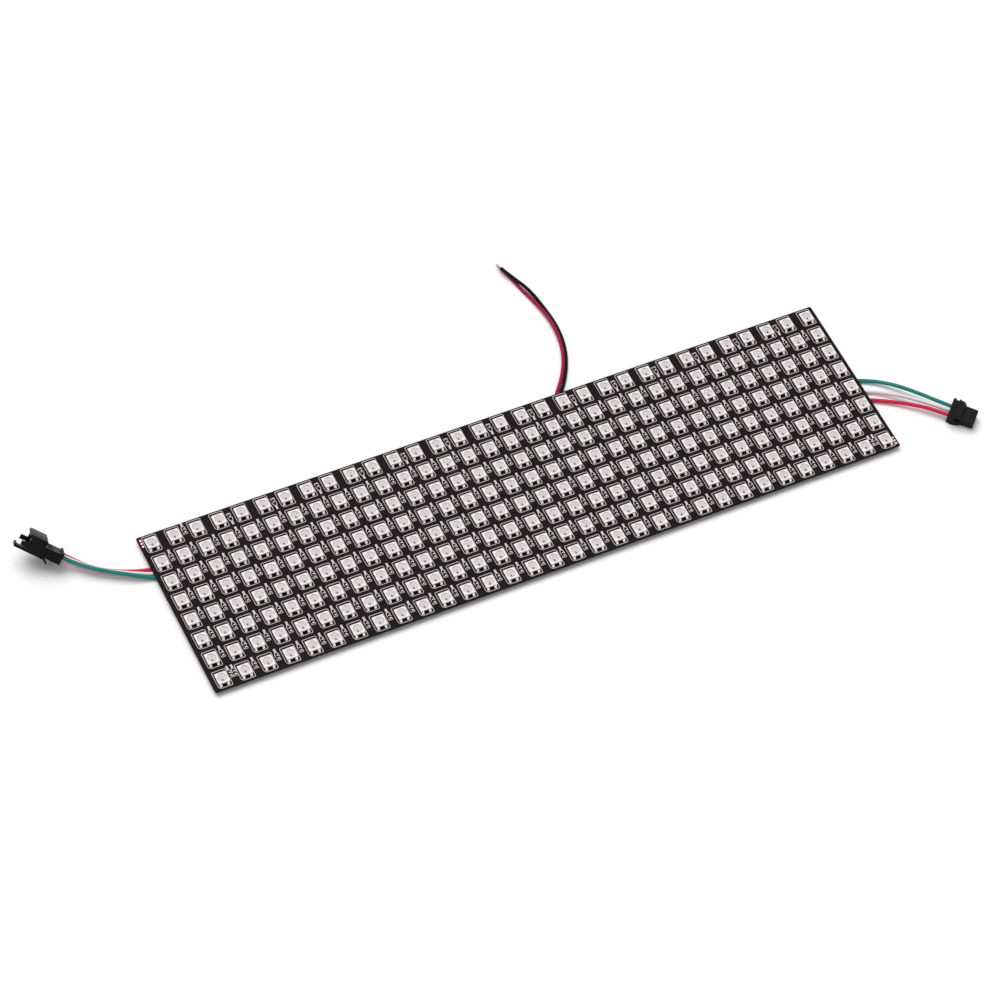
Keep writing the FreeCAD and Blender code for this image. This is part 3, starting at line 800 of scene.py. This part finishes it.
def turn_shape(shape, angle):
    """A quarter or half turn of a shape on its own middle."""
    bmesh.ops.rotate(shape, verts=shape.verts, cent=(0, 0, 0), matrix=Matrix.Rotation(angle, 3, "Z"))


def turned_bottle(shape):
    """The mark with its neck towards the front."""
    bottle(shape)
    turn_shape(shape, math.pi)


copies("printed_bottles", bottle, upright, INK)
copies("printed_bottles_turned", turned_bottle, turned, INK)


# Corner test pads
# Three bare copper rings, etched near two opposite corners in a line along the short edge, each with a dot
# of solder left in it by the tester.

PAD_RADIUS = 0.52
PAD_HOLE_RADIUS = 0.3
PAD_HEIGHT = 0.03
PAD_STEP = 1.5
PAD_STARTS = ((-158.7, 35.2), (159.0, -38.0))
PADS = 3
# The side of a solder dot, as radius and height.
DOT_PROFILE = [(0.34, 0.0), (0.32, 0.06), (0.2, 0.11), (0.06, 0.12)]


def test_pad(shape):
    """A flat copper ring."""
    outer, inner = circle(PAD_RADIUS), circle(PAD_HOLE_RADIUS)
    skin(shape, [lifted(outer, 0.0), lifted(outer, PAD_HEIGHT), lifted(inner, PAD_HEIGHT), lifted(inner, 0.0),
                 lifted(outer, 0.0)])


def solder_dot(shape):
    """A shallow dome that fills the ring."""
    skin(shape, [lifted(circle(radius), height) for radius, height in DOT_PROFILE], True, True)


# Bare etched copper: reddish brown and satin.
COPPER = metal("bare copper", "9C5A40", "CE9070", 0.4, 0.8 * MM)
pad_places = [(MM * x, MM * (y + PAD_STEP * step), BOARD_TOP)
              for x, y in PAD_STARTS for step in range(PADS)]
copies("test_pads", test_pad, pad_places, COPPER)
copies("test_pad_solder", solder_dot, pad_places, SOLDER, smooth=True)


# Soldered joints on the back
# Each wire end is laid on a tinned pad on the back of the board and covered by a smooth hump of solder.
# The panel rests on the eight humps.

DATA_WIRE_END = 150.0
POWER_WIRE_END = 32.0
JOINT_LENGTH = 3.4
JOINT_WIDTH = 2.6
# The side of a hump, as share of its width and share of its depth.
HUMP_PROFILE = [(1.0, 0.0), (0.97, 0.1), (0.9, 0.35), (0.75, 0.65), (0.55, 0.87), (0.3, 0.98), (0.1, 1.0)]
JOINTS = {
    "data_in_solder": [(-DATA_WIRE_END + JOINT_LENGTH / 2, y) for y in (16.0, 21.5, 27.0)],
    "data_out_solder": [(DATA_WIRE_END - JOINT_LENGTH / 2, y) for y in (-11.5, -6.0, -0.5)],
    "power_solder": [(x, POWER_WIRE_END - JOINT_LENGTH / 2) for x in (30.5, 34.5)],
}


def solder_hump(shape):
    """A dome, longer than wide, that hangs from the board's back to the table."""
    depth = board_low[2] / MM
    skin(shape, [lifted(circle(JOINT_WIDTH / 2 * share, JOINT_LENGTH - JOINT_WIDTH), -depth * down)
                 for share, down in HUMP_PROFILE], True, True)


def sideways_hump(shape):
    """The same dome, its length along the panel."""
    solder_hump(shape)
    turn_shape(shape, math.pi / 2)


for node, places in JOINTS.items():
    hump = solder_hump if node == "power_solder" else sideways_hump
    back_places = [(MM * x, MM * y, board_low[2]) for x, y in places]
    piece = copies(node.replace("solder", "humps"), hump, back_places, SOLDER, smooth=True)
    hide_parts(node)


# Table and light
# A plain white table that stays white to the camera, an even white room, and one large window behind the
# panel, which throws the short soft shadow along its front edge.

TABLE_HALF = 4.0
floor_mesh = bpy.data.meshes.new("table")
floor_mesh.from_pydata(lifted(rectangle(0.0, 0.0, 2 * TABLE_HALF, 2 * TABLE_HALF), 0.0), [], [(0, 1, 2, 3)])
floor = bpy.data.objects.new("table", floor_mesh)
scene.collection.objects.link(floor)
floor_material, _, floor_shader = new_material("white table", Roughness=1.0, Specular_IOR_Level=0.0)
floor_shader.inputs["Base Color"].default_value = (1.0, 1.0, 1.0, 1.0)
floor_mesh.materials.append(floor_material)

# The room looks white to the camera and in reflections, and lights the panel at its own level.
ROOM_LEVEL = 0.47
world = bpy.data.worlds.new("room")
world.use_nodes = True
room = world.node_tree
ray = add(room, "ShaderNodeLightPath").outputs
mirrored = add(room, "ShaderNodeMath", {0: ray["Is Glossy Ray"], 1: ray["Is Transmission Ray"]},
               operation="ADD")
white = add(room, "ShaderNodeMath", {0: mirrored.outputs[0], 1: ray["Is Camera Ray"]},
            operation="ADD", use_clamp=True)
level = add(room, "ShaderNodeMath", {0: white.outputs[0], 1: 1 - ROOM_LEVEL, 2: ROOM_LEVEL},
            operation="MULTIPLY_ADD")
background = room.nodes["Background"]
background.inputs["Color"].default_value = (1.0, 1.0, 1.0, 1.0)
room.links.new(level.outputs[0], background.inputs["Strength"])
scene.world = world

WINDOW_STRENGTH = 2.1
WINDOW_SPREAD = math.radians(50)
WINDOW_FROM = Vector((-0.1, 0.5, 1.0))
window = bpy.data.objects.new("window", bpy.data.lights.new("window", "SUN"))
window.data.energy = WINDOW_STRENGTH
window.data.angle = WINDOW_SPREAD
window.rotation_euler = WINDOW_FROM.to_track_quat("Z", "Y").to_euler()
scene.collection.objects.link(window)
scene.view_settings.view_transform = "Standard"
